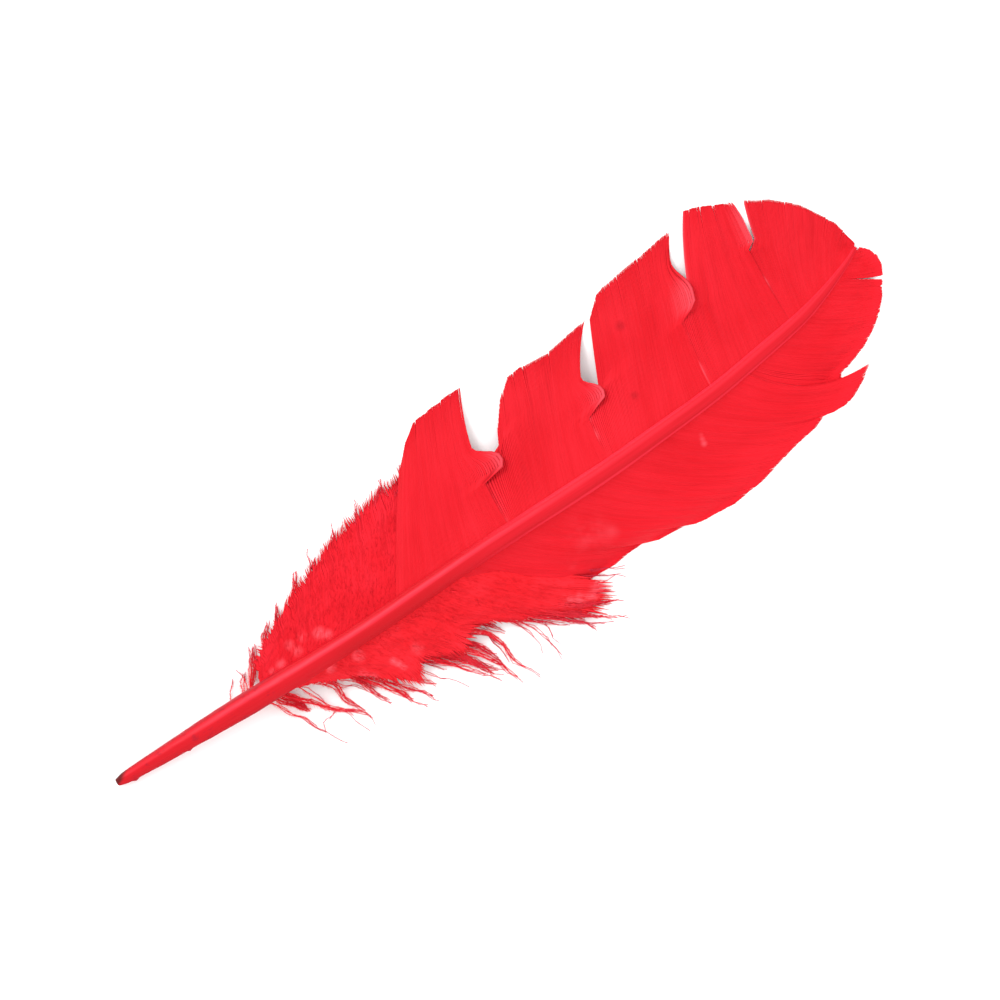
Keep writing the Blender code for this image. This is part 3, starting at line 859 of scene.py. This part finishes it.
def growMat(guides, side, barbules, seed, shape):
    random = np.random.default_rng(seed)
    guide = np.array(guides, float)
    rootU = np.arange(guide[0, 0], guide[-1, 0], shape["pitch"])
    count = len(rootU)
    u = rootU[:, None]
    tip = np.stack([np.interp(rootU, guide[:, 0], guide[:, axis]) for axis in (1, 2)], -1)
    root = barbRoot(rootU, side, shape)
    kept = np.clip(1.0 + random.normal(0, shape["lengthSpread"], count), *shape["lengths"])
    share = np.repeat(np.linspace(0, 1, shape["points"])[None], count, 0)
    t = share * kept[:, None]
    path = bentPath(root[:, :2], tip, np.full(count, shape["angle"]), side, t, shape["bend"])
    sway = ripples(seed + 2, shape["sways"], u, t)
    path[..., 0] += sway * t + random.normal(0, shape["tipSpread"], count)[:, None] * share**5

    # Neighbours keep one height, so it follows the distance from the shaft more than the share of each barb
    away = np.clip(np.abs(path[..., 1] - root[:, None, 1]) / shape["fallWidth"], 0, 1)
    height = between(root[:, None, 2], shape["tipHeight"], 0.8 * away**0.9 + 0.2 * t)
    tuck = shape["tuck"] * np.exp(-(rootU[-1] - rootU) / shape["tuckWidth"])
    height = height - tuck[:, None] * np.sin(np.pi * np.clip(t, 0, 1)) ** 0.5
    height = height + ripples(seed + 4, shape["waves"], u, t) * np.sin(np.pi * t * 0.8)
    centre = np.concatenate((path, softFloor(height, *shape["floor"])[..., None]), -1)
    roll = ripples(seed + 5, shape["roll"], u, t) + random.normal(0, shape["rollSpread"], count)[:, None]
    taper = between(1.0, shape["tipWidth"], smooth(0.85, 1.0, share))
    rings = ribbonRings(centre, roll, taper, share, shape)

    tint = np.zeros(t.shape)
    own = np.broadcast_to(random.random(count)[:, None], t.shape)
    marks = np.stack((tint, t, own), -1)
    fuzz = centre + (0, 0, shape["fuzzHeight"])
    return [strandFaces(rings, marks[:, :, None]),
            growBarbules(random, fuzz, tint, barbules, shape["barbules"])]


def growLocks(locks, barbules, seed, shape):
    random = np.random.default_rng(seed)
    lines, tints = [], []
    for wide, barbs, points in locks:
        points = np.array(points, float)
        steps = np.concatenate(([0], np.cumsum(np.linalg.norm(np.diff(points, axis=0), axis=1))))
        share = np.repeat(np.linspace(0, 1, shape["points"])[None], barbs, 0)
        # The first barb of a lock is as long as the lock
        t = share * np.where(np.arange(barbs) == 0, 1, random.uniform(shape["shortest"], 1.0, barbs))[:, None]
        path = np.stack([along(list(zip(steps / steps[-1], points[:, axis])), t) for axis in (0, 1)], -1)
        heading = unit(np.gradient(path, axis=1))
        across = np.stack((-heading[..., 1], heading[..., 0]), -1)
        spread = shape["spread"] if barbs > 1 else 0
        offset = np.linspace(-spread, spread, barbs)[:, None] + random.normal(0, shape["stray"], (barbs, 1))
        offset = offset * between(wide, shape["tipWidth"], t**1.3) * smooth(-0.1, 0.35, t)
        own = random.uniform(0, 90, (barbs, 1))
        wander = ripple(seed + 7, own, t * steps[-1] / shape["wanderLong"], waves=9)
        offset = offset + between(*shape["wander"], t) * wander
        path = path + across * offset[..., None]
        tints.append(smooth(*shape["dark"], t) * min(1.0, 1.3 / (1 + barbs / 6)))  # thick locks stay lighter
        drop = shaftRadius(points[0, 0]) * random.uniform(*shape["rootDrop"], (barbs, 1))
        rise = shaftCentre(points[0, 0])[2] - drop
        height = between(rise, random.uniform(*shape["tipHeights"], (barbs, 1)), t**0.7)
        height = height - shape["sag"] * np.sin(np.pi * t)
        lines.append(np.concatenate((path, softFloor(height, *shape["floor"])[..., None]), -1))
    line, tint = np.concatenate(lines), np.concatenate(tints)
    t = np.repeat(np.linspace(0, 1, shape["points"])[None], len(line), 0)
    own = np.broadcast_to(random.random((len(line), 1)), t.shape)
    thick = between(*shape["radius"], t)[..., None]
    return [growTubes(line, thick, np.stack((tint, t, own), -1)),
            growBarbules(random, line, tint, barbules, shape["barbules"])]


print("finishes")
# Pale clouds (near x 205 a painted highlight of lifted barbs), dark specks, and pale tufts that are a painted
# highlight: x, y and radius, then the strength of all but the specks
shaftMaterial = shaftFinish("dyed_quill", shaftLook)
innerMaterial = vaneFinish("dyed_inner_vane", vaneLook, [], [(204.2, 30.2, 2.4), (195.9, 10.2, 2)])
# Painted light: the outer vane has brighter colours and a lighter margin, against the shade on its side away
# from the softbox
outerLook = vaneLook | {"deep": (0.59, 0.0055, 0.012, 1), "bright": (0.70, 0.013, 0.025, 1), "thin": 0.7}
outerMaterial = vaneFinish("dyed_outer_vane", outerLook, [
    (161, -17.5, 10, 0.4), (151.5, -21, 3.4, 0.4), (167.5, -20.5, 3.4, 0.4), (206, -10.8, 1.1, 0.5),
    (205.6, -12.2, 1.3, 0.8), (205.3, -13.6, 1.5, 1)], [])
innerDown = downFinish("dyed_inner_down", downLook, [
    (76.5, 3.6, 3, 0.7), (78.5, 1.8, 2.4, 0.6), (61.6, 2.4, 2.4, 0.6), (58.2, 2, 1.6, 0.5),
    (68, 2.8, 2.6, 0.5), (71.5, 5.4, 2.4, 0.5), (67, 5.6, 2.4, 0.5)])
# Painted light: the outer down has brighter colours, against the shade on its side away from the softbox
outerDownLook = downLook | {"deep": (0.72, 0.014, 0.022, 1), "bright": (0.80, 0.022, 0.034, 1)}
outerDown = downFinish("dyed_outer_down", outerDownLook, [
    (73.4, -6.6, 3, 0.9), (82.6, -8.8, 2.8, 1.0), (80.6, -14.2, 2.4, 0.9), (82.4, -17, 2.2, 0.9),
    (90.4, -16, 1.8, 1.0), (91.2, -17.6, 1.8, 1.0), (92, -19.2, 1.7, 1.0), (98.5, -16.8, 3, 0.5),
    (144.5, -30.7, 3.4, 0.9), (148, -32.3, 3.4, 1.0), (151.5, -34, 3.4, 1.0), (155, -32, 4, 0.9)])
# Painted light: the locks have brighter colours, against the shade they lie in under the dense down
lockLook = downLook | {"deep": (0.88, 0.020, 0.034, 1), "bright": (0.95, 0.045, 0.066, 1)}
lockMaterial = downFinish("dyed_locks", lockLook, [])

print("shaft")
buildPiece("shaft", growShaft(shaftShape), shaftMaterial)

print("vanes")
buildPiece("inner_vane", growVane(innerSections, 1, innerEdges, 11, vaneShape), innerMaterial)
buildPiece("outer_vane", growVane(outerSections, -1, outerEdges, 31, vaneShape), outerMaterial)

print("down")
buildPiece("outer_down", growMat(outerMat, -1, 6000, 51, matShape), outerDown)
buildPiece("outer_locks", growLocks(outerLocks, 40000, 52, lockShape), lockMaterial)
buildPiece("inner_down", growMat(innerMat, 1, 4000, 53, matShape), innerDown)
buildPiece("inner_locks", growLocks(innerLocks, 34000, 54, lockShape), lockMaterial)
